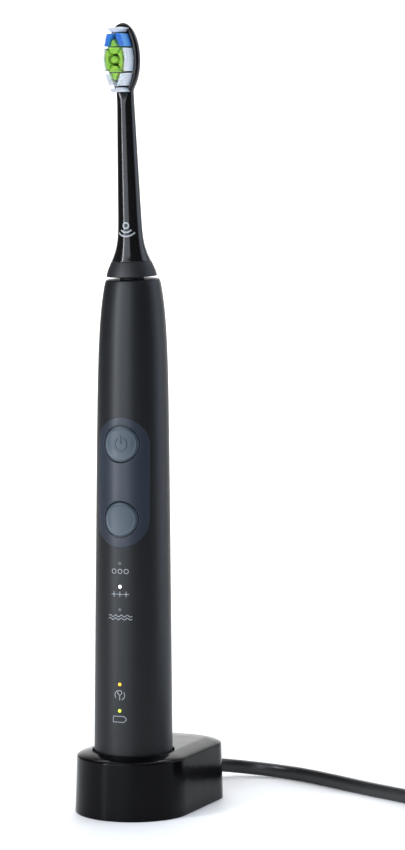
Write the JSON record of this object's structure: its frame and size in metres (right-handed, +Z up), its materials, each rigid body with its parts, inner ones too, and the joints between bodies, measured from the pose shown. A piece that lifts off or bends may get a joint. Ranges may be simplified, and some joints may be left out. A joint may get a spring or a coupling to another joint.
{
  "type": "electric toothbrush on charger",
  "caption": "Slim sonic toothbrush with a flared brush head, two front buttons and indicator lights, standing in an oblong charging base with a coiled mains lead.",
  "frame": {"origin": "on the resting surface, directly under the handle's own axis", "axes": "+Z up along the handle; the buttons and bristles face -Y; +X is to the right of someone facing the buttons"},
  "size_m": [0.1833, 0.1288, 0.2717],
  "materials": {
    "charger_plastic": "gloss",
    "charger_base": "matte",
    "ferrite": "matte",
    "former_plastic": "satin",
    "copper_wire": "satin",
    "board": "satin",
    "capacitor_sleeve": "gloss",
    "chip": "matte",
    "cord_sheath": "satin",
    "tie_strap": "woven",
    "plug_plastic": "satin",
    "plug_metal": "polished",
    "handle_casing": "soft touch",
    "pad_rubber": "matte",
    "switch_body": "matte",
    "light_off": "satin",
    "light_white": "satin",
    "light_amber": "satin",
    "light_green": "satin",
    "lamp": "gloss",
    "cell_sleeve": "gloss",
    "nickel": "satin",
    "chassis_plastic": "matte",
    "end_cap_plastic": "matte",
    "seal_rubber": "matte",
    "drive_steel": "satin",
    "bearing_plastic": "satin",
    "core_steel": "satin",
    "spring_steel": "satin",
    "shaft_steel": "polished",
    "magnet": "plated",
    "neck_plastic": "gloss",
    "collar_rubber": "matte",
    "clip_plastic": "satin",
    "white_nylon": "satin",
    "blue_nylon": "satin",
    "green_nylon": "satin",
    "button_rubber": "matte",
    "plunger_plastic": "satin"
  },
  "bodies": {
    "charger": {"charger_housing": "charger_plastic", "charger_base_plate": "charger_base", "ferrite_core": "ferrite", "primary_coil_former": "former_plastic", "primary_coil": "copper_wire", "charger_board": "board", "charger_capacitor": "capacitor_sleeve", "charger_transformer": "ferrite", "charger_chip": "chip", "strain_relief": "cord_sheath", "power_cord": "cord_sheath", "cord_coil": "cord_sheath", "coil_tie": "tie_strap", "cord_tail": "cord_sheath", "plug_body": "plug_plastic", "plug_pins": "plug_metal"},
    "handle": {"handle_shell": "handle_casing", "control_pad": "pad_rubber", "tact_switches": "switch_body", "mode_light_upper": "light_off", "mode_light_middle": "light_white", "mode_light_lower": "light_off", "brush_head_light": "light_amber", "battery_light": "light_green", "indicator_lamps": "lamp", "circuit_board": "board", "controller_chip": "chip", "charge_chip": "chip", "board_inductor": "ferrite", "battery_cell": "cell_sleeve", "cell_tabs": "nickel", "chassis": "chassis_plastic", "end_cap": "end_cap_plastic", "end_cap_seal": "seal_rubber", "receiving_coil_former": "former_plastic", "receiving_coil": "copper_wire", "drive_frame": "drive_steel", "upper_bearing": "bearing_plastic", "lower_bearing": "bearing_plastic", "stator_core": "core_steel", "stator_coil": "copper_wire", "centring_spring": "spring_steel", "shaft_seal": "seal_rubber"},
    "drive": {"drive_shaft": "shaft_steel", "magnet_carrier": "core_steel", "drive_magnets": "magnet"},
    "brush_head": {"brush_neck": "neck_plastic", "head_collar": "collar_rubber", "shaft_clip": "clip_plastic", "id_tag": "board", "white_bristles": "white_nylon", "blue_bristles": "blue_nylon", "green_bristles": "green_nylon"},
    "power_button": {"power_button": "button_rubber", "power_switch_plunger": "plunger_plastic"},
    "mode_button": {"mode_button": "button_rubber", "mode_switch_plunger": "plunger_plastic"}
  },
  "joints": [
    {"name": "handle_lift", "type": "slide", "parent": "charger", "child": "handle", "axis": [0, 0, 1], "range_m": [0, 0.035]},
    {"name": "shaft_swing", "type": "hinge", "parent": "handle", "child": "drive", "pos_m": [0, -0.001, 0.1849], "axis": [0, -0.0958, 0.9954], "range_deg": [-5, 5], "stiffness_Nm_per_rad": 0.05},
    {"name": "head_pull", "type": "slide", "parent": "drive", "child": "brush_head", "axis": [0, -0.0958, 0.9954], "range_m": [0, 0.03]},
    {"name": "power_press", "type": "slide", "parent": "handle", "child": "power_button", "axis": [0, 1, 0], "range_m": [0, 0.0005], "stiffness_N_per_m": 1500},
    {"name": "mode_press", "type": "slide", "parent": "handle", "child": "mode_button", "axis": [0, 1, 0], "range_m": [0, 0.0005], "stiffness_N_per_m": 1500}
  ]
}
